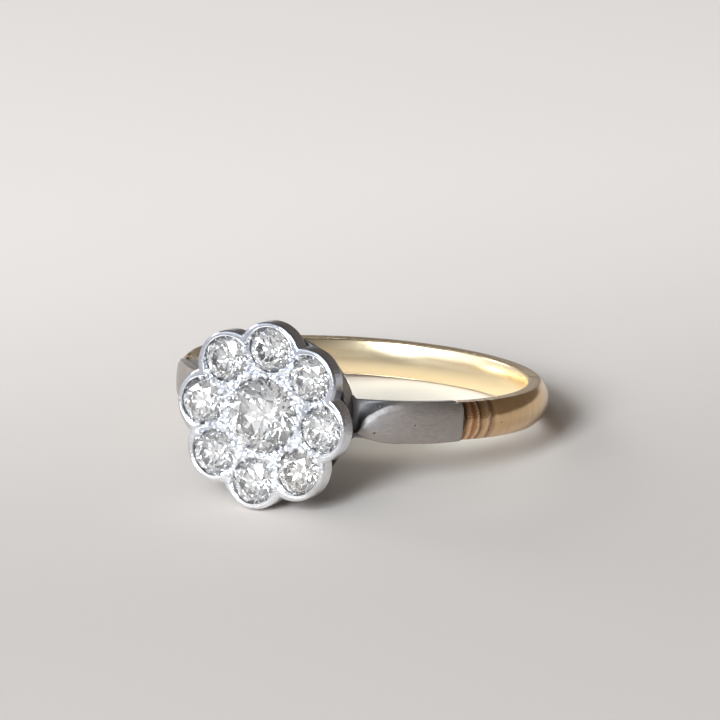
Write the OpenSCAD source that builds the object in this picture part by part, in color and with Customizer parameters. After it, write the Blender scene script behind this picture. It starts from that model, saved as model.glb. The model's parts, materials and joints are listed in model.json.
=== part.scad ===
// Cluster ring: a flower of eight small stones round a larger one, on a plain hoop.
// The hoop is yellow metal at the back. The head and the shoulders are white metal.
// The ring lies on its side: it stands on one petal and on the back of the hoop.

/* [Hoop] */
// Radius of the finger hole
bore_r = 8.4; // [7.5:0.1:10]
// Width of the hoop along the finger
band_w = 1.9; // [1.5:0.05:2.2]
// Thickness of the hoop at its crown
band_t = 1.1; // [0.9:0.05:1.3]
// Height of the straight edge of the hoop, below the crown
band_edge = 0.65; // [0.4:0.05:0.75]
// Rounding of the edges that touch the finger
band_ease = 0.12; // [0.05:0.01:0.2]
// Angle from the middle of the head to the seam of the two metals
seam_deg = 59.5; // [52:0.5:70]
// Clearance at each seam
seam_gap = 0.03; // [0.02:0.01:0.06]

/* [Shoulders] */
// Widest part of the flat spear on the outside of a shoulder
spear_w = 2.05; // [1.6:0.05:2.3]
// Angle from the middle of the head to the tip of the spear
tip_deg = 26; // [24:0.5:28]
// How far the tip of the spear lies off the middle of the hoop
tip_drop = 0.55; // [0:0.05:0.6]
// How much higher than the hoop the shoulder stands at the tip
tip_rise = 0.2; // [0:0.05:0.5]
// Width of the bevel along the edge of the spear
bevel_w = 0.28; // [0.2:0.02:0.45]
// Fall of that bevel
bevel_h = 0.18; // [0.1:0.01:0.25]

/* [Gallery] */
// Radius of the base ring under the head
base_r = 3.76; // [3.6:0.02:4]
// Thickness of the base ring
base_t = 0.35; // [0.25:0.05:0.5]
// Width of the opening in the base ring, as a radius
base_hole_r = 3.2; // [2.8:0.05:3.4]
// Radius of the inner corner between the base ring and a shoulder
flare_r = 0.4; // [0.25:0.05:0.6]
// Radius of the gallery wall at its foot
wall_foot_r = 3.5; // [3.4:0.02:3.6]
// Thickness of the gallery wall
wall_t = 0.4; // [0.3:0.05:0.5]
// Open height between the gallery wall and the bezel
slot_h = 0.42; // [0.3:0.02:0.6]
// Radius of the posts that carry the bezel
post_r = 0.17; // [0.14:0.01:0.2]

/* [Bezel] */
// Height of the face of the head above the finger
head_h = 2.5; // [2.3:0.05:2.9]
// Depth of the scalloped bezel
bezel_h = 0.85; // [0.7:0.05:1]
// Radius of one petal
petal_r = 1.8; // [1.6:0.02:2]
// Distance from the middle of the head to the middle of a petal
petal_pitch_r = 2.93; // [2.7:0.01:3.1]
// Thickness of the rim at the tip of a petal
rim_t = 0.2; // [0.15:0.01:0.3]
// Bevel round the outer edge of the rim
rim_edge = 0.1; // [0.04:0.02:0.14]
// Radius of the scallops inside the rim
scallop_r = 1.34; // [1.26:0.02:1.5]
// Depth of the sunk field inside the rim
field_h = 0.16; // [0.1:0.01:0.2]
// Turn of the flower on its base
head_turn = -4; // [-8:0.5:8]
// Radius of the larger grains between the stones
grain_r = 0.19; // [0.14:0.01:0.22]
// Radius of the smaller grains
small_grain_r = 0.12; // [0.08:0.01:0.13]

/* [Stones] */
// Diameter of the middle stone
middle_d = 3.74; // [3.4:0.02:3.9]
// Diameter of a petal stone
side_d = 2.3; // [2:0.02:2.4]
// Depth of the middle stone's girdle below the rim
middle_sink = 0.08; // [0:0.01:0.2]
// Depth of a petal stone's girdle below the rim
side_sink = 0.24; // [0.2:0.01:0.3]
// Clearance between a stone and its seat
stone_gap = 0.03; // [0.02:0.005:0.05]

/* [Hidden] */
$fn = 96;

petals = 8;
step_deg = 360 / petals;

// Kites round the table of a stone
mains = 8;
// Cut of the stones, as shares of the stone's radius
table_share = 0.56;
star_share = 0.77;
crown_share = 0.32;
girdle_share = 0.03;
pavilion_share = 0.86;
half_share = 0.34;
culet_share = 0.05;
// Width of the hole under a stone, as a share of its radius
hole_share = 0.42;
// Slope of the ridges under the girdle: depth against radius, as far as the ring of halves
half_step = 180 / mains;
half_depth = pavilion_share * (1 - half_share * cos(half_step)) / (1 - culet_share);
ridge_slope = half_depth / (1 - half_share);
// Turn of one stone against the next, about its own axis
stone_turn = 17;

// Heights above the finger's axis, measured along the head's axis
face_v = bore_r + head_h;
bezel_v = face_v - bezel_h;
wall_top_v = bezel_v - slot_h;
foot_v = sqrt(bore_r * bore_r - base_r * base_r);

hoop_r = bore_r + band_t;
band_half = band_w / 2;
crown_h = band_t - band_edge;
crown_r = (band_half * band_half + crown_h * crown_h) / (2 * crown_h);

petal_reach = petal_pitch_r * cos(head_turn) + petal_r;
stone_pitch_r = petal_pitch_r + petal_r - rim_t - side_d / 2;
scallop_pitch_r = petal_pitch_r + petal_r - rim_t - scallop_r;
post_pitch_r = stone_pitch_r + hole_share * side_d / 2 + 3 * stone_gap + post_r;
wall_top_r = post_pitch_r + post_r / 4;

// The inner corner touches the base ring at one end and the shoulder's side at the other
flare_end_u = sqrt(pow(base_r + flare_r, 2) - pow(band_half + flare_r, 2));
flare_start_u = flare_end_u * base_r / (base_r + flare_r);

// The ring leans until a petal and the hoop's back edge both touch the ground
tilt = atan((petal_reach - band_half) / (bezel_v + bore_r + band_edge));
place_z = petal_reach * cos(tilt) - bezel_v * sin(tilt);
front_y = face_v * cos(tilt) + petal_reach * sin(tilt);
back_y = (hoop_r - crown_r) * cos(tilt) + crown_r;
place_y = (front_y - back_y) / 2;

// Spear on a shoulder: share of the way from tip to seam, share of half its width
SPEAR = [[0, 0.03], [0.02, 0.2], [0.04, 0.34], [0.08, 0.54], [0.17, 0.76], [0.26, 0.92],
    [0.36, 0.99], [0.5, 1], [0.73, 1], [1, 0.92]];
// How far the spear's middle still lies off the hoop's: share of the way, share of the drop
DROP = [[0, 1], [0.04, 0.68], [0.08, 0.48], [0.17, 0.3], [0.26, 0.13], [0.4, 0.02], [0.5, 0]];
// The shoulder runs on behind the tip, into the gallery wall
ROOT_SHARE = -0.12;
SPEAR_STEPS = 34;
SIDE_STEPS = 6;
// The steps lie closer together towards the root, where the shoulder flares
STEP_POWER = 1.5;
// Rise of the flat spear in its middle
DOME = 0.04;
// How far the foot of a shoulder stands inside the edge of the strip that carries it
FOOT_IN = 0.05;
// Width of that foot where it runs into the gallery wall, as a share of the hoop's width
ROOT_FOOT = 1.2;
// Height of a grain's flattened top, as a share of its radius
GRAIN_TOP = 0.96;

// The ring's own frame has the finger along Z and the head towards -Y
module lying() {
    translate([0, place_y, place_z]) rotate([-tilt, 0, 0]) children();
}

// A frame on the head's axis: Z is the height above the finger's axis
module on_head(turn = 0) {
    rotate([90, 0, 0]) rotate([0, 0, turn]) children();
}

// Hoop

module hoop_profile() {
    difference() {
        intersection() {
            translate([bore_r, -band_half]) square([band_t, band_w]);
            translate([hoop_r - crown_r, 0]) circle(r = crown_r);
        }
        for (side = [-1, 1])
            difference() {
                translate([bore_r - band_ease, side * band_half - band_ease])
                    square(2 * band_ease);
                translate([bore_r + band_ease, side * (band_half - band_ease)])
                    circle(r = band_ease);
                translate([bore_r + band_ease, -band_half - band_ease])
                    square([band_ease, band_w + 2 * band_ease]);
                translate([bore_r - band_ease, band_ease - band_half])
                    square([3 * band_ease, band_w - 2 * band_ease]);
            }
    }
}

module band() {
    seam_half = seam_gap / 2 / bore_r * 180 / PI;
    start = seam_deg + seam_half;
    color([0.86, 0.70, 0.42])
        lying()
            rotate([0, 0, start - 90])
                rotate_extrude(angle = 360 - 2 * start) hoop_profile();
}

// Shoulders

function mix(a, b, t) = a + (b - a) * t;

// Half of the width of base ring and shoulder at u, with the inner corner between them
function foot_w(u) =
    u < flare_start_u ? sqrt(base_r * base_r - u * u) :
    u < flare_end_u ? band_half + flare_r - sqrt(flare_r * flare_r - pow(flare_end_u - u, 2)) :
    band_half;

function shoulder_deg(share) = mix(tip_deg, seam_deg - seam_gap / 2 / bore_r * 180 / PI, share);

// One cross section of a shoulder, as a ring of points in the ring's own frame
function shoulder_section(share) =
    let (
        deg = shoulder_deg(share),
        near = max(0, 1 - share),
        out_r = hoop_r + tip_rise * pow(near, 1.5),
        half = spear_w / 2 * lookup(max(0, share), SPEAR),
        flat = max(half - bevel_w, half * 0.35),
        mid = -tip_drop * lookup(max(0, share), DROP),
        lip_r = bore_r + base_t - FOOT_IN,
        foot = min(foot_w(lip_r * sin(deg)) - FOOT_IN, ROOT_FOOT * band_half),
        edge_r = out_r - bevel_h,
        bend = 1 + near,
        side = function(s) [
            [out_r - DOME / 4, mid + s * flat / 2],
            [out_r - DOME, mid + s * flat],
            [edge_r, mid + s * half],
            for (i = [1 : SIDE_STEPS])
                let (t = i / SIDE_STEPS)
                    [mix(edge_r, lip_r, t), mix(mid + s * half, s * foot, pow(t, bend))],
            [bore_r + base_t / 2, s * foot]
        ],
        up = side(1),
        down = side(-1),
        count = len(down),
        flatring = concat([[out_r, mid]], up, [for (i = [1 : count]) down[count - i]])
    )
    [for (p = flatring) [p[0] * sin(deg), -p[0] * cos(deg), p[1]]];

module loft(rings) {
    count = len(rings[0]);
    last = len(rings) - 1;
    points = [for (ring = rings) each ring];
    walls = [for (i = [0 : last - 1], j = [0 : count - 1])
        let (a = i * count + j, b = i * count + (j + 1) % count)
        each [[a, b, a + count], [b, b + count, a + count]]];
    polyhedron(
        points = points,
        faces = concat(walls,
            [[for (j = [0 : count - 1]) count - 1 - j]],
            [[for (j = [0 : count - 1]) last * count + j]]));
}

module shoulder() {
    loft([for (i = [0 : SPEAR_STEPS])
        shoulder_section(mix(ROOT_SHARE, 1, pow(i / SPEAR_STEPS, STEP_POWER)))]);
}

// Gallery

// The base ring seen along the head's axis: a circle that runs out into each shoulder
module base_outline() {
    start_w = foot_w(flare_start_u);
    circle(r = base_r);
    difference() {
        polygon([
            [-flare_end_u, -band_half], [-flare_start_u, -start_w],
            [flare_start_u, -start_w], [flare_end_u, -band_half],
            [flare_end_u, band_half], [flare_start_u, start_w],
            [-flare_start_u, start_w], [-flare_end_u, band_half]
        ]);
        for (i = [-1, 1], j = [-1, 1])
            translate([i * flare_end_u, j * (band_half + flare_r)]) circle(r = flare_r);
    }
}

module base_ring() {
    intersection() {
        on_head() translate([0, 0, bore_r / 2]) linear_extrude(height = bore_r) base_outline();
        cylinder(r = bore_r + base_t, h = 3 * base_r, center = true);
    }
    // The strip under the shoulders runs from seam to seam
    end_deg = shoulder_deg(1);
    rotate([0, 0, -90 - end_deg])
        rotate_extrude(angle = 2 * end_deg)
            translate([bore_r, -band_half]) square([base_t, band_w]);
}

module gallery() {
    on_head()
        translate([0, 0, foot_v])
            cylinder(r1 = wall_foot_r, r2 = wall_top_r, h = wall_top_v - foot_v);
}

module gallery_hollow() {
    on_head() {
        cylinder(r = base_hole_r, h = wall_top_v);
        translate([0, 0, foot_v])
            cylinder(r1 = wall_foot_r - wall_t, r2 = wall_top_r - wall_t,
                h = wall_top_v - foot_v + stone_gap);
    }
}

// The posts reach from inside the gallery wall to inside the bezel
module posts() {
    for (i = [0 : petals - 1])
        rotate([0, 0, i * step_deg])
            translate([post_pitch_r, 0, wall_top_v - post_r])
                cylinder(r = post_r, h = slot_h + 2 * post_r);
}

// Bezel

// The sunk field with its scallops
module field() {
    cylinder(r = scallop_pitch_r, h = 2 * field_h);
    for (i = [0 : petals - 1])
        rotate([0, 0, i * step_deg])
            translate([scallop_pitch_r, 0, 0]) cylinder(r = scallop_r, h = 2 * field_h);
}

module petals_blank() {
    cylinder(r = petal_pitch_r, h = bezel_h);
    for (i = [0 : petals - 1])
        rotate([0, 0, i * step_deg])
            translate([petal_pitch_r, 0, 0])
                rotate_extrude()
                    polygon([
                        [0, 0], [petal_r, 0], [petal_r, bezel_h - rim_edge],
                        [petal_r - rim_edge, bezel_h], [0, bezel_h]
                    ]);
}

// The seat of one stone: its girdle fits the top, and light enters from below
module seat(d, sink) {
    seat_r = d / 2 + stone_gap;
    hole_r = hole_share * d / 2 + stone_gap;
    shelf_v = face_v - sink - girdle_share * d / 2 - stone_gap;
    hole_v = shelf_v - (seat_r - hole_r) * ridge_slope;
    rotate_extrude()
        polygon([
            [0, bezel_v - bezel_h], [hole_r, bezel_v - bezel_h], [hole_r, hole_v],
            [seat_r, shelf_v], [seat_r, face_v + bezel_h], [0, face_v + bezel_h]
        ]);
}

module bezel() {
    on_head(head_turn)
        difference() {
            union() {
                translate([0, 0, bezel_v]) petals_blank();
                posts();
            }
            translate([0, 0, face_v - field_h]) field();
            seat(middle_d, middle_sink);
            for (i = [0 : petals - 1])
                rotate([0, 0, i * step_deg])
                    translate([stone_pitch_r, 0, 0]) seat(side_d, side_sink);
        }
}

// Grains stand in the spaces that the stones leave, and one ends each web of the rim
module grain(radius, pitch_r, v) {
    translate([pitch_r, 0, v - radius / 5])
        intersection() {
            sphere(r = radius);
            cylinder(r = 2 * radius, h = 2 * GRAIN_TOP * radius, center = true);
        }
}

module grains() {
    field_v = face_v - field_h;
    space_r = middle_d / 2 + 2.2 * grain_r;
    middle_edge = middle_d / 2;
    side_edge = stone_pitch_r - side_d / 2;
    // A web ends where two scallops meet, or at the field's own round where they don't
    half_chord = scallop_pitch_r * sin(step_deg / 2);
    meet = sqrt(max(0, scallop_r * scallop_r - half_chord * half_chord));
    web_r = max(scallop_pitch_r, scallop_pitch_r * cos(step_deg / 2) + meet);
    on_head(head_turn)
        for (i = [0 : petals - 1]) {
            rotate([0, 0, (i + 0.5) * step_deg]) {
                grain(grain_r, space_r, field_v);
                grain(small_grain_r, space_r + grain_r + small_grain_r, field_v);
                grain(small_grain_r, web_r + small_grain_r / 3, face_v);
            }
            rotate([0, 0, i * step_deg])
                grain(min(small_grain_r, (side_edge - middle_edge) / 2 - stone_gap),
                    (middle_edge + side_edge) / 2, field_v);
        }
}

module setting() {
    color([0.72, 0.72, 0.73])
        lying() {
            bezel();
            grains();
            difference() {
                union() {
                    base_ring();
                    gallery();
                    shoulder();
                    mirror([1, 0, 0]) mirror([0, 0, 1]) shoulder();
                }
                gallery_hollow();
                cylinder(r = bore_r, h = 4 * base_r, center = true);
            }
        }
}

// Stones

// A round brilliant: table, stars, kites, halves, girdle, and the same below
module brilliant(d) {
    r = d / 2;
    crown = crown_share * r;
    waist = girdle_share * r;
    pavilion = pavilion_share * r;
    table = table_share * r;
    star = star_share * r;
    half = half_share * r;
    culet = culet_share * r;
    star_z = crown * (r - star * cos(half_step)) / (r - table);
    half_z = -waist - half_depth * r;
    ring = function(radius, count, shift, z)
        [for (k = [0 : count - 1])
            let (deg = (k + shift) * 360 / count)
            [radius * cos(deg), radius * sin(deg), z]];
    points = concat(
        ring(table, mains, 0, crown), ring(star, mains, 0.5, star_z),
        ring(r, 2 * mains, 0, 0), ring(r, 2 * mains, 0, -waist),
        ring(half, mains, 0.5, half_z), ring(culet, mains, 0, -waist - pavilion));
    // Number of the first point of each ring
    stars = mains;
    top = 2 * mains;
    low = 4 * mains;
    halves = 6 * mains;
    tip = 7 * mains;
    faces = concat(
        [[for (k = [0 : mains - 1]) mains - 1 - k]],
        [for (k = [0 : mains - 1])
            let (n = (k + 1) % mains, p = (k + mains - 1) % mains, g = 2 * k, m = 2 * n) each [
                [k, n, stars + k],
                [k, stars + k, top + g],
                [k, top + g, stars + p],
                [stars + k, top + g + 1, top + g],
                [stars + k, top + m, top + g + 1],
                [top + g, top + g + 1, low + g + 1],
                [top + g, low + g + 1, low + g],
                [top + g + 1, top + m, low + m],
                [top + g + 1, low + m, low + g + 1],
                [halves + k, low + g, low + g + 1],
                [halves + k, low + g + 1, low + m],
                [tip + k, halves + p, low + g],
                [tip + k, low + g, halves + k],
                [tip + k, halves + k, tip + n]
            ]],
        [[for (k = [0 : mains - 1]) tip + k]]);
    polyhedron(points = points, faces = faces);
}

module stone_centre() {
    color([0.93, 0.95, 0.98])
        lying() on_head(head_turn)
            translate([0, 0, face_v - middle_sink]) rotate([0, 0, stone_turn]) brilliant(middle_d);
}

module side_stone(k) {
    color([0.93, 0.95, 0.98])
        lying() on_head(head_turn + (k - 1) * step_deg)
            translate([stone_pitch_r, 0, face_v - side_sink])
                rotate([0, 0, k * stone_turn]) brilliant(side_d);
}

band();
setting();
stone_centre();
side_stone(1);  // stone_1
side_stone(2);  // stone_2
side_stone(3);  // stone_3
side_stone(4);  // stone_4
side_stone(5);  // stone_5
side_stone(6);  // stone_6
side_stone(7);  // stone_7
side_stone(8);  // stone_8
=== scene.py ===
import json
import math
import random

import bpy
import bmesh
from mathutils import Matrix, Vector


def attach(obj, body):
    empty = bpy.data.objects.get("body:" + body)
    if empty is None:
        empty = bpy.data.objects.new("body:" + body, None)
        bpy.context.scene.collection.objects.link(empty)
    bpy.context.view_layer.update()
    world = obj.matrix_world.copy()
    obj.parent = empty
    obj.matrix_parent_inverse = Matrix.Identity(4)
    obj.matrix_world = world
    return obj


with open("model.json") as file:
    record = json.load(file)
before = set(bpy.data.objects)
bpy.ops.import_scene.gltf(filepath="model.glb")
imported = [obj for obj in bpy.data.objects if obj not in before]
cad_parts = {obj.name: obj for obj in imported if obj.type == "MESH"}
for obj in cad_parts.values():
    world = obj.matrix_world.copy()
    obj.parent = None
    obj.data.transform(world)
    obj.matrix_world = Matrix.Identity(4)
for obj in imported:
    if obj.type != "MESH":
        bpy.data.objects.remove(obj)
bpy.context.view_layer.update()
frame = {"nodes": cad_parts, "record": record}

# The ring's own frame, in metres: U across, V towards the head, W along the finger
MM = 0.001
hole = frame["record"]["mounts"][0]
HOLE = Vector(hole["pos_m"])
W = Vector(hole["axis"]).normalized()
U = Vector((1, 0, 0))
V = U.cross(W)

# Sizes of the source that the looks lean on, in mm and degrees
PETALS = 8
PETAL_DEG = 360 / PETALS
FACE_V = 10.9
FIELD_V = FACE_V - 0.16
BEZEL_V = FACE_V - 0.85
HEAD_TURN = -4
MIDDLE_R = 1.87
SIDE_R = 1.15
STONE_PITCH = 3.38
SCALLOP_R = 1.34
SCALLOP_PITCH = 3.19
SEAM_DEG = 59.5

# Edges of the zones in the looks, each from none of the zone to all of it.
# FAR is mm from the finger's axis, DEG degrees from the head, W mm along the finger.
HOOP_OUTSIDE_FAR = (8.75, 9.0)
HOOP_INSIDE_FAR = (8.46, 8.43)
HOOP_DULL_FAR = (8.9, 8.6)
HOOP_PITTED_DEG = (90.0, 70.0)
SOLDER_DEG = 15.0
SOLDER_SHARE = (0.95, 0.78)
SETTING_OUTSIDE_FAR = (8.42, 8.50)
SPEAR_FAR = (9.24, 9.32)
SPEAR_DEG = (24.5, 26.5)
SPEAR_OUTWARD = (0.70, 0.86)
SPEAR_TIP_DEG = (42.0, 30.0)
SPEAR_TIP_W = (-0.8, 0.1)
FLANK_DEG = (50.0, 27.0)
GALLERY_DEG = (27.0, 24.0)
EDGE_W = (0.86, 0.93)
EDGE_FAR = (8.80, 8.70)
EDGE_DEG = (23.0, 27.0)
RIM_W = (-3.5, 3.5)

# Colours, in linear red, green and blue
# The hoop's inside and outside are one gold: painted light makes the inside lighter, painted
# shade makes the outside darker and warmer
GOLD_INSIDE_PAINTED_LIGHT = (0.97, 0.81, 0.55)
GOLD_OUTSIDE_PAINTED_SHADE = (0.76, 0.53, 0.30)
GOLD_WORN = (0.64, 0.44, 0.25)
GOLD_RUST = (0.50, 0.22, 0.13)
GOLD_PIT = (0.12, 0.08, 0.05)
WHITE_PLAIN = (0.62, 0.62, 0.635)
# Painted light and shade on the petals' rims: lighter low down, darker and bluer high up
RIM_LOW_PAINTED_LIGHT = (0.98, 0.98, 1.0)
RIM_HIGH_PAINTED_SHADE = (0.54, 0.57, 0.65)
SPEAR = (0.46, 0.41, 0.38)
# Painted shade where the spears meet the head
SPEAR_TIP_PAINTED_SHADE = (0.20, 0.19, 0.19)
WORN = (0.31, 0.29, 0.28)
# Painted shade on the shoulders' flanks
FLANK_PAINTED_SHADE = (0.27, 0.265, 0.27)
# Painted shade in the gallery under the head
GALLERY_PAINTED_SHADE = (0.15, 0.15, 0.155)
EDGE = (0.60, 0.60, 0.60)
# The colour of the pits, and of the painted shade in the corners below the field
DARK_PIT_AND_CORNER_SHADE = (0.06, 0.055, 0.05)
GRAIN_DULL = (0.78, 0.80, 0.85)
GRAIN_BRIGHT = (0.99, 0.99, 0.99)
RIM_LIP = (0.86, 0.86, 0.88)
STONE_CLEAR = (1.0, 1.0, 1.0)
STONE_CREAM = (0.985, 0.955, 0.92)
# Painted light on the floor: darker near and on the right, lighter far off on the left and inside
# the hoop
FLOOR_NEAR_PAINTED_SHADE = (0.55, 0.502, 0.462)
FLOOR_FAR_PAINTED_LIGHT = (0.83, 0.765, 0.715)
FLOOR_IN_HOOP_PAINTED_LIGHT = (0.94, 0.89, 0.81)
ROOM_WARM = (1.0, 0.84, 0.70)
ROOM_COOL = (0.96, 0.975, 1.0)

# The solder beside each seam, from the seam (0) to the clean hoop (1): colour and height
# The colours are partly painted: lighter on the ridges as painted highlights, darker in the
# grooves as painted shade; the dark seam and the red solder are the solder's own
SOLDER_TONES_AND_PAINTED_RIDGE_SHADING = [
    (0.0, (0.05, 0.03, 0.02)), (0.07, (0.12, 0.06, 0.04)), (0.12, (0.50, 0.29, 0.16)),
    (0.18, (0.86, 0.58, 0.33)), (0.24, (0.40, 0.17, 0.09)), (0.31, (0.55, 0.28, 0.16)),
    (0.36, (0.86, 0.60, 0.36)), (0.42, (0.20, 0.11, 0.06)), (0.50, (0.62, 0.40, 0.22)),
    (0.62, (0.84, 0.60, 0.36)), (0.70, (0.30, 0.17, 0.10)), (0.80, (0.58, 0.38, 0.22)),
    (0.92, (0.84, 0.60, 0.35))]
SOLDER_RIDGES = [
    (0.0, 0.2), (0.08, 0.3), (0.18, 1.0), (0.26, 0.3), (0.35, 0.9), (0.42, 0.0),
    (0.52, 0.5), (0.64, 1.0), (0.73, 0.0), (0.84, 0.5), (1.0, 0.5)]

# Marks on the right shoulder, as u, v, w and radius in mm: pits, and round bubbles
# of which each is a mound with a hollow in it
PITS = (((5.0, 8.23, -0.51), 0.075), ((6.58, 6.94, -0.06), 0.05), ((7.3, 6.2, -0.6), 0.035))
BUBBLES = (
    (((4.88, 7.72, 0.76), 0.24), ((4.90, 7.72, 0.76), 0.11)),
    (((5.45, 7.45, 0.80), 0.16), ((5.45, 7.45, 0.80), 0.08)))

BUMP_DEPTH = 0.1 * MM
LIP_BUMP_DEPTH = 0.03 * MM
HOOP_BEVEL = 0.06 * MM
SETTING_BEVEL = 0.12 * MM
CORNER_REACH = 0.35 * MM
# A spot is full within this share of its size, and fades from there
SPOT_CORE = 0.55
STONE_IOR = 2.42

# The way in which the floor grows lighter, a painted fall of light, from where to where, and the
# lightest place inside the hoop, painted light gathered by the hoop: its middle, and where it
# begins and is full. In metres.
FLOOR_WAY = Vector((-0.62, 0.78, 0.0))
FLOOR_RUN = (-0.022, 0.045)
HOOP_MIDDLE = (0.0005, 0.0042, 0.0)
HOOP_LIGHT_REACH = (0.0072, 0.0045)

# Facets that meet at less than this look rounded, in degrees
HOOP_SMOOTH_DEG = 25
SETTING_SMOOTH_DEG = 22
WELD_DISTANCE = 1e-7


def ring_point(u, v, w):
    return HOLE + (U * u + V * v + W * w) * MM


def head_point(x, y, v):
    """The point at x, y in the head's own plane, v mm from the finger's axis"""
    reach = math.hypot(x, y)
    turn = math.radians(math.degrees(math.atan2(y, x)) + HEAD_TURN)
    return ring_point(reach * math.cos(turn), v, reach * math.sin(turn))


# Shader helpers

class Shader:
    """Fills a node tree; most methods give back the socket of what they made"""

    def __init__(self, tree):
        self.tree = tree
        self.tree.nodes.clear()

    def node(self, kind, ins=None, **props):
        made = self.tree.nodes.new("ShaderNode" + kind)
        for key, value in props.items():
            setattr(made, key, value)
        for key, value in (ins or {}).items():
            self.put(made.inputs[key], value)
        return made

    def put(self, socket, value):
        if isinstance(value, bpy.types.NodeSocket):
            self.tree.links.new(value, socket)
        elif socket.type == "RGBA":
            socket.default_value = (*value, 1)
        else:
            socket.default_value = value

    def math(self, op, a, b=0.0):
        return self.node("Math", {0: a, 1: b}, operation=op).outputs[0]

    def times(self, first, *others):
        for value in others:
            first = self.math("MULTIPLY", first, value)
        return first

    def plus(self, first, *others):
        for value in others:
            first = self.math("ADD", first, value)
        return first

    def minus(self, a, b):
        return self.math("SUBTRACT", a, b)

    def ramp(self, value, low, high, out_low=0.0, out_high=1.0):
        """A smooth step from out_low at low to out_high at high"""
        ins = {"Value": value, "From Min": low, "From Max": high,
               "To Min": out_low, "To Max": out_high}
        made = self.node("MapRange", ins, interpolation_type="SMOOTHSTEP")
        return made.outputs["Result"]

    def mix(self, factor, a, b):
        ins = {"Factor": factor, 6: a, 7: b}
        return self.node("Mix", ins, data_type="RGBA", blend_type="MIX").outputs[2]

    def stops(self, value, table):
        """A smooth run of colours or numbers over 0 to 1"""
        made = self.node("ValToRGB", {"Fac": value})
        ramp = made.color_ramp
        ramp.interpolation = "EASE"
        while len(ramp.elements) < len(table):
            ramp.elements.new(0.5)
        for element, (at, _) in zip(ramp.elements, table):
            element.position = at
        for element, (_, tone) in zip(ramp.elements, table):
            element.color = (tone, tone, tone, 1) if isinstance(tone, float) else (*tone, 1)
        return made.outputs["Color"]

    def noise(self, vector, scale, detail, rough):
        ins = {"Vector": vector, "Scale": scale, "Detail": detail, "Roughness": rough}
        return self.node("TexNoise", ins).outputs[0]

    def vector(self, x, y, z):
        return self.node("CombineXYZ", {"X": x, "Y": y, "Z": z}).outputs[0]

    def dot(self, vector, axis):
        made = self.node("VectorMath", {0: vector, 1: axis}, operation="DOT_PRODUCT")
        return made.outputs["Value"]

    def distance(self, vector, point):
        made = self.node("VectorMath", {0: vector, 1: point}, operation="DISTANCE")
        return made.outputs["Value"]

    def spot(self, place, at, size):
        """One at the point at, and none further than size from it"""
        return self.ramp(self.distance(place, at), size, size * SPOT_CORE)

    def object_place(self):
        return self.node("TexCoord").outputs["Object"]

    def ring_coords(self):
        """u, v and w in mm, mm from the finger's axis, degrees from the head on either
        side, and the same degrees with a minus on the left"""
        off = self.node("VectorMath", {0: self.object_place(), 1: HOLE}, operation="SUBTRACT")
        u, v, w = (self.dot(off.outputs[0], axis / MM) for axis in (U, V, W))
        across = self.math("ABSOLUTE", u)
        deg = self.times(self.math("ARCTAN2", across, v), 180 / math.pi)
        far = self.math("SQRT", self.plus(self.times(u, u), self.times(v, v)))
        along = self.times(deg, self.math("SIGN", u))
        return u, v, w, far, deg, along

    def bevel(self, radius, samples):
        return self.node("Bevel", {"Radius": radius}, samples=samples).outputs[0]

    def bump(self, height, strength, distance, normal=None):
        ins = {"Height": height, "Strength": strength, "Distance": distance}
        if normal is not None:
            ins["Normal"] = normal
        return self.node("Bump", ins).outputs[0]

    def surface(self, **ins):
        ins = {key.replace("_", " "): value for key, value in ins.items()}
        made = self.node("BsdfPrincipled", ins)
        self.tree.links.new(made.outputs[0], self.node("OutputMaterial").inputs["Surface"])


def new_material(name):
    mat = bpy.data.materials.new(name)
    mat.use_nodes = True
    return mat, Shader(mat.node_tree)


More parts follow.
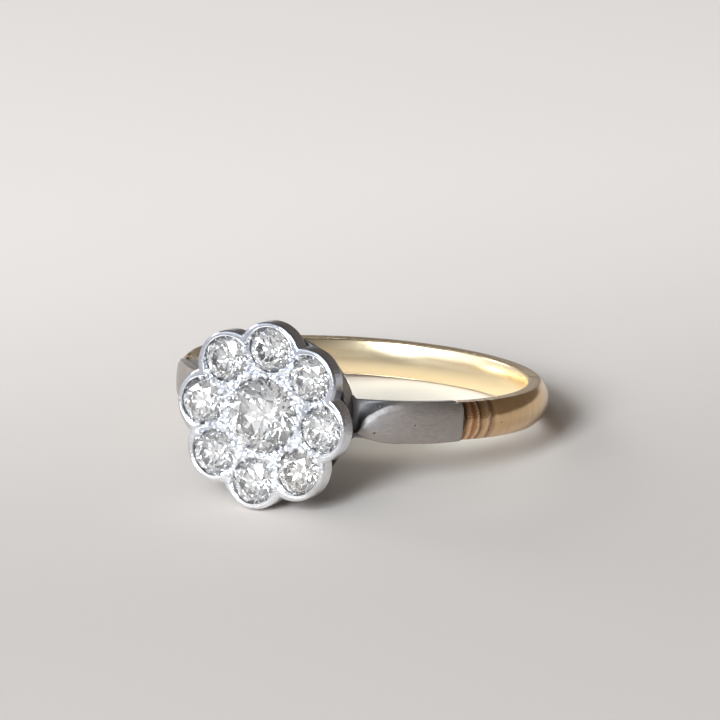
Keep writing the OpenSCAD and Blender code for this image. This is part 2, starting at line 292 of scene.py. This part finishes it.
def gold():
    mat, s = new_material("yellow_metal")
    u, v, w, far, deg, along = s.ring_coords()
    place = s.vector(along, s.times(w, 0.9), far)
    outside = s.ramp(far, *HOOP_OUTSIDE_FAR)

    # Solder and file marks run across the hoop, beside the seam
    stretched = s.vector(s.times(along, 0.2), s.times(w, 1.1), 0.0)
    wander = s.noise(stretched, 1.3, detail=3.0, rough=0.6)
    where = s.plus(deg, s.times(s.minus(wander, 0.5), 1.8))
    share = s.math("DIVIDE", s.minus(where, SEAM_DEG), SOLDER_DEG)
    # The solder's colours carry painted highlights on the ridges and painted shade in the grooves
    solder_marks_and_ridge_shading = s.stops(share, SOLDER_TONES_AND_PAINTED_RIDGE_SHADING)
    ridges = s.stops(share, SOLDER_RIDGES)
    solder = s.times(s.ramp(share, *SOLDER_SHARE), outside)
    streak = s.noise(s.vector(along, s.times(w, 0.5), 0.0), 1.1, detail=3.0, rough=0.6)
    marked = s.times(solder, s.ramp(streak, 0.25, 0.5, 0.55, 0.95))
    rust = s.times(s.ramp(s.noise(place, 0.8, detail=4.0, rough=0.6), 0.5, 0.7), solder)

    wear = s.noise(place, 0.35, detail=4.0, rough=0.6)
    specks = s.noise(s.vector(u, v, w), 3.4, detail=1.0, rough=0.5)
    pits = s.times(s.ramp(specks, 0.755, 0.80), outside, s.ramp(deg, *HOOP_PITTED_DEG))

    # Painted light and shade: a lighter gold inside the hoop, a darker, warmer gold outside
    hoop = s.mix(s.ramp(wear, 0.3, 0.75), GOLD_OUTSIDE_PAINTED_SHADE, GOLD_WORN)
    colour = s.mix(outside, GOLD_INSIDE_PAINTED_LIGHT, hoop)
    colour = s.mix(marked, colour, solder_marks_and_ridge_shading)
    colour = s.mix(s.times(rust, 0.55), colour, GOLD_RUST)
    colour = s.mix(s.times(pits, 0.75), colour, GOLD_PIT)

    fine = s.noise(s.vector(along, s.times(w, 9.0), far), 1.6, detail=2.0, rough=0.6)
    rough = s.plus(s.ramp(far, *HOOP_DULL_FAR, 0.12, 0.20),
                   s.times(fine, 0.10), s.times(solder, 0.10))
    # The inside is slightly domed across its width, and worn smooth
    dome = s.times(w, w, s.ramp(far, *HOOP_INSIDE_FAR, 0.0, -1.6))
    dents = s.noise(place, 0.9, detail=2.0, rough=0.5)
    height = s.plus(s.times(fine, 0.012), s.times(ridges, solder, 0.42),
                    s.times(dents, 0.03), s.times(pits, -0.3), dome)
    s.surface(Base_Color=colour, Metallic=1.0, Roughness=rough,
              Normal=s.bump(height, 1.0, BUMP_DEPTH, s.bevel(HOOP_BEVEL, samples=4)))
    return mat


def white_metal():
    mat, s = new_material("white_metal")
    u, v, w, far, deg, along = s.ring_coords()
    here = s.vector(u, v, w)
    normal = s.node("NewGeometry").outputs["Normal"]
    facing = s.plus(s.times(s.dot(normal, U), u), s.times(s.dot(normal, V), v))
    outward = s.math("DIVIDE", facing, far)

    # Zones: the flat spears and their tips by the head, the shoulders' flanks,
    # the gallery under the head, and the thin edge beside the finger hole
    under = s.ramp(v, BEZEL_V + 0.02, BEZEL_V - 0.02)
    outside = s.ramp(far, *SETTING_OUTSIDE_FAR)
    spear = s.times(s.ramp(far, *SPEAR_FAR), s.ramp(deg, *SPEAR_DEG),
                    s.ramp(outward, *SPEAR_OUTWARD))
    # Painted shade: the flanks are darkened, most near the head, for the shade and the dark that
    # they reflect
    flank = s.times(s.ramp(deg, *FLANK_DEG, 0.45, 1.0), outside, under, s.minus(1.0, spear))
    # Painted shade: the gallery under the head is darkened, for the head's shadow
    gallery = s.times(s.ramp(deg, *GALLERY_DEG), under, outside)
    edge = s.times(s.ramp(s.math("ABSOLUTE", w), *EDGE_W), s.ramp(far, *EDGE_FAR),
                   s.ramp(deg, *EDGE_DEG))
    # Painted shade: the spears' tips by the head are darkened, for the dark of the head that they
    # reflect
    tip = s.times(s.ramp(deg, *SPEAR_TIP_DEG), outside, under, s.ramp(w, *SPEAR_TIP_W))

    # Wear: soft clouds, brushing along the spears, and pits; and painted shade in the corners
    # below the field
    cloud = s.noise(s.vector(along, s.times(w, 4.0), far), 0.22, detail=4.0, rough=0.6)
    brush = s.noise(s.vector(along, s.times(w, 16.0), 0.0), 0.45, detail=3.0, rough=0.65)
    grit = s.noise(here, 9.0, detail=3.0, rough=0.6)
    worn = s.math("MAXIMUM", s.ramp(cloud, 0.35, 0.75), s.times(s.ramp(brush, 0.42, 0.62), spear))
    corner = s.node("AmbientOcclusion", {"Distance": CORNER_REACH}, samples=6, only_local=True)
    corner_painted_shade = s.times(s.ramp(corner.outputs["AO"], 0.6, 0.25, 0.0, 0.45),
                   s.ramp(v, FIELD_V - 0.02, FIELD_V - 0.12))
    pits = s.times(s.ramp(s.noise(here, 3.2, detail=2.0, rough=0.5), 0.765, 0.80), spear)
    for at, size in PITS:
        pits = s.math("MAXIMUM", pits, s.spot(here, at, size))
    bubbles = s.plus(*(s.minus(s.spot(here, *mound), s.spot(here, *hollow))
                       for mound, hollow in BUBBLES))

    # Painted light and shade: the rims are lighter towards the floor and darker and bluer
    # upwards, for how the light falls on them
    rim = s.mix(s.ramp(w, *RIM_W), RIM_LOW_PAINTED_LIGHT, RIM_HIGH_PAINTED_SHADE)
    colour = s.mix(s.ramp(v, BEZEL_V - 0.05, BEZEL_V + 0.05), WHITE_PLAIN, rim)
    layers = (
        (spear, SPEAR), (s.times(worn, 0.42), WORN), (s.times(flank, 0.85), FLANK_PAINTED_SHADE),
        (s.times(gallery, 0.8), GALLERY_PAINTED_SHADE), (s.times(edge, 0.8), EDGE), (corner_painted_shade, DARK_PIT_AND_CORNER_SHADE),
        (s.times(tip, 0.6), SPEAR_TIP_PAINTED_SHADE), (s.times(pits, 0.8), DARK_PIT_AND_CORNER_SHADE))
    for amount, tone in layers:
        colour = s.mix(amount, colour, tone)

    rough = s.plus(s.times(spear, 0.27), s.times(cloud, 0.12),
                   s.plus(0.13, s.times(flank, 0.24)), s.times(tip, 0.14))
    height = s.plus(s.times(brush, 0.26), s.times(cloud, 0.10), s.times(grit, 0.05),
                    s.times(pits, -0.4), s.times(bubbles, 0.45))
    s.surface(Base_Color=colour, Metallic=1.0, Roughness=rough,
              Normal=s.bump(height, 0.7, BUMP_DEPTH, s.bevel(SETTING_BEVEL, samples=6)))
    return mat


def grain_metal():
    mat, s = new_material("grain_metal")
    cloud = s.noise(s.object_place(), 2600.0, detail=2.0, rough=0.5)
    colour = s.mix(s.ramp(cloud, 0.35, 0.6), GRAIN_DULL, GRAIN_BRIGHT)
    s.surface(Base_Color=colour, Metallic=0.80, Roughness=0.16)
    return mat


def lip_metal():
    mat, s = new_material("lip_metal")
    nicks = s.noise(s.object_place(), 5200.0, detail=2.0, rough=0.5)
    s.surface(Base_Color=RIM_LIP, Metallic=1.0,
              Roughness=s.ramp(nicks, 0.35, 0.65, 0.10, 0.24),
              Normal=s.bump(nicks, 0.5, LIP_BUMP_DEPTH))
    return mat


def stone(name, colour):
    mat, s = new_material(name)
    s.surface(Base_Color=colour, Roughness=0.0, IOR=STONE_IOR, Transmission_Weight=0.97)
    return mat


def floor_material():
    """Painted light on the floor: lighter towards the far left and inside the hoop, as on the
    photo
    """
    mat, s = new_material("floor")
    place = s.object_place()
    colour = s.mix(s.ramp(s.dot(place, FLOOR_WAY), *FLOOR_RUN), FLOOR_NEAR_PAINTED_SHADE, FLOOR_FAR_PAINTED_LIGHT)
    reach = s.distance(place, HOOP_MIDDLE)
    colour = s.mix(s.ramp(reach, *HOOP_LIGHT_REACH), colour, FLOOR_IN_HOOP_PAINTED_LIGHT)
    s.surface(Base_Color=colour, Roughness=0.9, Specular_IOR_Level=0.05)
    return mat


# Dressing of the CAD pieces

def smooth(obj, limit):
    """Rounds the look of the facets without moving a vertex: edges over the limit stay sharp"""
    tree = bpy.data.node_groups.new("smooth_" + obj.name, "GeometryNodeTree")
    tree.interface.new_socket("Geometry", in_out="INPUT", socket_type="NodeSocketGeometry")
    tree.interface.new_socket("Geometry", in_out="OUTPUT", socket_type="NodeSocketGeometry")
    new = tree.nodes.new
    start, end = new("NodeGroupInput"), new("NodeGroupOutput")
    weld = new("GeometryNodeMergeByDistance")
    weld.inputs["Distance"].default_value = WELD_DISTANCE
    plain = new("GeometryNodeRemoveAttribute")
    plain.inputs["Name"].default_value = "custom_normal"
    faces = new("GeometryNodeSetShadeSmooth")
    edges = new("GeometryNodeSetShadeSmooth")
    edges.domain = "EDGE"
    angle = new("GeometryNodeInputMeshEdgeAngle")
    flat = new("FunctionNodeCompare")
    flat.operation = "LESS_THAN"
    flat.inputs[1].default_value = math.radians(limit)
    link = tree.links.new
    link(start.outputs[0], weld.inputs["Geometry"])
    link(weld.outputs[0], plain.inputs["Geometry"])
    link(plain.outputs[0], faces.inputs["Geometry"])
    link(faces.outputs[0], edges.inputs["Geometry"])
    link(angle.outputs["Unsigned Angle"], flat.inputs[0])
    link(flat.outputs[0], edges.inputs["Shade Smooth"])
    link(edges.outputs[0], end.inputs[0])
    obj.modifiers.new("smooth", "NODES").node_group = tree


def dress(obj, mat):
    obj.data.materials.clear()
    obj.data.materials.append(mat)


nodes = frame["nodes"]
clear = stone("clear_stone", STONE_CLEAR)
cream = stone("cream_stone", STONE_CREAM)
dress(nodes["band"], gold())
dress(nodes["setting"], white_metal())
smooth(nodes["band"], HOOP_SMOOTH_DEG)
smooth(nodes["setting"], SETTING_SMOOTH_DEG)
for name, obj in nodes.items():
    if name.startswith("stone"):
        dress(obj, cream if name == "stone_8" else clear)


def finish_piece(name, mesh, mat, smooth_faces):
    data = bpy.data.meshes.new(name)
    for face in mesh.faces:
        face.smooth = smooth_faces
    mesh.to_mesh(data)
    mesh.free()
    obj = bpy.data.objects.new(name, data)
    bpy.context.scene.collection.objects.link(obj)
    data.materials.append(mat)
    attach(obj, "root")


# Fine grains that crowd the field between the stones. All lengths are in mm.

GRAIN_SEED = 11
GRAIN_TRIES = ((0.21, 1500), (0.16, 2000), (0.12, 2500), (0.08, 4000))
GRAIN_REACH = (1.9, 4.45)
GRAIN_SPREAD = (0.88, 1.12)
GRAIN_STRETCH = (0.85, 1.15)
GRAIN_FLATTEN = 0.95
GRAIN_DENTS = (0.84, 1.08)
GRAIN_SPIN = (0, 6.28)
GRAIN_RISE = 0.35
# Grains from this radius on have the finer sphere
GRAIN_FINE_R = 0.16
# Neighbours stay this share of their two radii apart, so they merge slightly
GRAIN_PITCH = 0.86
# The share of its radius by which a grain stays clear of the middle stone, of a
# petal's stone and of a petal's rim
MIDDLE_ROOM, SIDE_ROOM, RIM_ROOM = 0.35, 0.25, 0.3


def in_field(x, y, r):
    """Whether a grain of radius r fits between the stones, at x, y in the head's plane"""
    from_middle = math.hypot(x, y)
    if from_middle < MIDDLE_R + MIDDLE_ROOM * r:
        return False
    inside = from_middle < SCALLOP_PITCH
    for k in range(PETALS):
        a = math.radians(PETAL_DEG * k)
        ca, sa = math.cos(a), math.sin(a)
        from_stone = math.hypot(x - STONE_PITCH * ca, y - STONE_PITCH * sa)
        from_petal = math.hypot(x - SCALLOP_PITCH * ca, y - SCALLOP_PITCH * sa)
        if from_stone < SIDE_R + SIDE_ROOM * r:
            return False
        if from_petal < SCALLOP_R - RIM_ROOM * r:
            inside = True
    return inside


def scatter_grains():
    """The grains' places in the head's plane, as x, y and radius, the largest first"""
    placed = []
    for radius, tries in GRAIN_TRIES:
        for _ in range(tries):
            reach, a = random.uniform(*GRAIN_REACH), random.uniform(0, 2 * math.pi)
            x, y = reach * math.cos(a), reach * math.sin(a)
            r = radius * random.uniform(*GRAIN_SPREAD)
            if not in_field(x, y, r):
                continue
            if any(math.hypot(x - p[0], y - p[1]) < GRAIN_PITCH * (r + p[2]) for p in placed):
                continue
            placed.append((x, y, r))
    return placed


def add_grain(mesh, centre, radius):
    face_v = V.to_track_quat("Z", "Y").to_matrix().to_4x4()
    spin = (Matrix.Rotation(random.uniform(*GRAIN_SPIN), 4, "Z")
            @ Matrix.Rotation(random.uniform(*GRAIN_SPIN), 4, "X"))
    shape = Matrix.Diagonal((random.uniform(*GRAIN_STRETCH), random.uniform(*GRAIN_STRETCH),
                             GRAIN_FLATTEN, 1))
    made = bmesh.ops.create_icosphere(
        mesh, subdivisions=1 if radius < GRAIN_FINE_R else 2, radius=radius * MM,
        matrix=Matrix.Translation(centre) @ face_v @ shape @ spin)
    for vert in made["verts"]:
        vert.co = centre + (vert.co - centre) * random.uniform(*GRAIN_DENTS)


random.seed(GRAIN_SEED)
grains = bmesh.new()
for x, y, r in scatter_grains():
    add_grain(grains, head_point(x, y, FIELD_V + GRAIN_RISE * r), r)
finish_piece("field_grains", grains, grain_metal(), smooth_faces=False)

# The bright lip that holds each petal stone, along the inner edge of its rim

LIP_R = 0.04
LIP_HALF_DEG = 86
LIP_HALF_STEPS = 20
LIP_INSET = 0.01
LIP_SINK = 0.02


def tube(mesh, path, radius, sides=8):
    """A closed round tube along path; each point comes with its own outward direction"""
    rings = []
    for centre, outward in path:
        rings.append([mesh.verts.new(centre + (outward * math.cos(t) + V * math.sin(t)) * radius)
                      for t in (2 * math.pi * j / sides for j in range(sides))])
    for one, two in zip(rings, rings[1:]):
        for j in range(sides):
            mesh.faces.new((one[j], one[(j + 1) % sides], two[(j + 1) % sides], two[j]))
    mesh.faces.new(rings[0][::-1])
    mesh.faces.new(rings[-1])


def lip_path(petal_deg):
    """The arc of one petal's lip, as points and their outward directions"""
    a, turn = math.radians(petal_deg), math.radians(HEAD_TURN)
    path = []
    for j in range(2 * LIP_HALF_STEPS + 1):
        t = math.radians(LIP_HALF_DEG * (j / LIP_HALF_STEPS - 1))
        dx, dy = math.cos(a + t), math.sin(a + t)
        x = SCALLOP_PITCH * math.cos(a) + (SCALLOP_R - LIP_INSET) * dx
        y = SCALLOP_PITCH * math.sin(a) + (SCALLOP_R - LIP_INSET) * dy
        outward = (U * (dx * math.cos(turn) - dy * math.sin(turn))
                   + W * (dx * math.sin(turn) + dy * math.cos(turn)))
        path.append((head_point(x, y, FACE_V - LIP_SINK), outward))
    return path


lips = bmesh.new()
for k in range(PETALS):
    tube(lips, lip_path(PETAL_DEG * k), LIP_R * MM)
bmesh.ops.recalc_face_normals(lips, faces=lips.faces)
finish_piece("rim_lips", lips, lip_metal(), smooth_faces=True)

# Floor and lamps. All lengths are in metres.

FLOOR_HALF = 3.0
LAMP_AIM = Vector((0, 0, 0.004))
LAMP_DISTANCE = 0.60
# Name, direction from the ring, width and height, watts, and colour
LAMPS = (
    ("window", (0.0, -0.88, 0.47), (0.17, 0.25), 5.4, (0.83, 0.92, 1.0)),
    ("left", (-0.86, 0.06, 0.42), (0.20, 0.16), 0.55, (1.0, 0.97, 0.93)),
    ("front_left", (-0.66, -0.62, 0.42), (0.45, 0.30), 0.34, (0.95, 0.97, 1.0)))
# Small bright cards before the ring's head, which the stones' facets pick up: degrees
# from the head's front towards +X, and degrees up
CARD_DEG = ((-24, 30), (22, 40), (-6, 58), (-52, 40))
CARD_SIZE = (0.13, 0.13)
CARD_POWER = 0.18


def add_floor():
    data = bpy.data.meshes.new("floor")
    h = FLOOR_HALF
    data.from_pydata([(-h, -h, 0), (h, -h, 0), (h, h, 0), (-h, h, 0)], [], [(0, 1, 2, 3)])
    data.materials.append(floor_material())
    obj = bpy.data.objects.new("floor", data)
    bpy.context.scene.collection.objects.link(obj)


def add_lamp(name, direction, size, power, colour=(1, 1, 1)):
    data = bpy.data.lights.new(name, "AREA")
    data.shape = "RECTANGLE"
    data.size, data.size_y = size
    data.energy = power
    data.color = colour
    obj = bpy.data.objects.new(name, data)
    obj.location = Vector(direction).normalized() * LAMP_DISTANCE + LAMP_AIM
    obj.rotation_mode = "QUATERNION"
    obj.rotation_quaternion = (obj.location - LAMP_AIM).to_track_quat("Z", "Y")
    bpy.context.scene.collection.objects.link(obj)


scene = bpy.context.scene
add_floor()
for name, direction, size, power, colour in LAMPS:
    add_lamp(name, direction, size, power, colour)
for i, (side_deg, up_deg) in enumerate(CARD_DEG):
    a, b = math.radians(side_deg), math.radians(up_deg)
    direction = (math.sin(a) * math.cos(b), -math.cos(a) * math.cos(b), math.sin(b))
    add_lamp("card_%d" % i, direction, CARD_SIZE, CARD_POWER)

# The room: light in front and on the left, dim and warm behind and on the right,
# and dimmer overhead. Each run is along ROOM_FRONT, or up for the overhead one.
ROOM_FRONT = Vector((-0.62, -0.78, 0.0))
ROOM_LEVEL_RUN, ROOM_LEVEL = (-0.50, 0.90), (0.18, 0.86)
ROOM_TINT_RUN = (-0.7, 0.2)
ROOM_OVERHEAD_RUN, ROOM_OVERHEAD = (0.30, 0.80), (1.0, 0.40)

world = bpy.data.worlds.new("studio")
scene.world = world
world.use_nodes = True
room = Shader(world.node_tree)
sky = room.node("TexCoord").outputs["Generated"]
height = room.node("SeparateXYZ", {0: sky}).outputs["Z"]
ahead = room.dot(sky, ROOM_FRONT)
level = room.times(room.ramp(ahead, *ROOM_LEVEL_RUN, *ROOM_LEVEL),
                   room.ramp(height, *ROOM_OVERHEAD_RUN, *ROOM_OVERHEAD))
tint = room.mix(room.ramp(ahead, *ROOM_TINT_RUN), ROOM_WARM, ROOM_COOL)
back = room.node("Background", {"Color": tint, "Strength": level})
out = room.node("OutputWorld")
room.tree.links.new(back.outputs[0], out.inputs["Surface"])

# The camera was fitted to the photo. It looks along the line from CAM_AZ and CAM_EL to
# the hole's centre, turned by CAM_ROLL, and stands CAM_RIGHT and CAM_UP mm beside it.
CAM_AZ, CAM_EL, CAM_ROLL = (math.radians(deg) for deg in (28.302, 20.230, -1.494))
CAM_RIGHT, CAM_UP, CAM_DISTANCE = -0.12908, 1.35382, 289.35
CAM_LENS_PIXELS = 5676.77
PHOTO_PIXELS = 720
SENSOR_MM = 36

cam_data = bpy.data.cameras.new("camera")
cam = bpy.data.objects.new("camera", cam_data)
scene.collection.objects.link(cam)
away = Vector((math.sin(CAM_AZ) * math.cos(CAM_EL), -math.cos(CAM_AZ) * math.cos(CAM_EL),
               math.sin(CAM_EL)))
level_right = Vector((math.cos(CAM_AZ), math.sin(CAM_AZ), 0))
level_up = away.cross(level_right)
right = level_right * math.cos(CAM_ROLL) + level_up * math.sin(CAM_ROLL)
up = level_up * math.cos(CAM_ROLL) - level_right * math.sin(CAM_ROLL)
cam.location = HOLE + (away * CAM_DISTANCE + right * CAM_RIGHT + up * CAM_UP) * MM
cam.rotation_mode = "QUATERNION"
cam.rotation_quaternion = Matrix((right, up, away)).transposed().to_quaternion()
cam_data.sensor_width = SENSOR_MM
cam_data.lens = CAM_LENS_PIXELS / PHOTO_PIXELS * SENSOR_MM
cam_data.clip_start = 0.01
cam_data.clip_end = 20
scene.camera = cam

scene.view_settings.view_transform = "Standard"
# The stones need many bounces
scene.cycles.max_bounces = 16
scene.cycles.transmission_bounces = 14
scene.cycles.glossy_bounces = 6
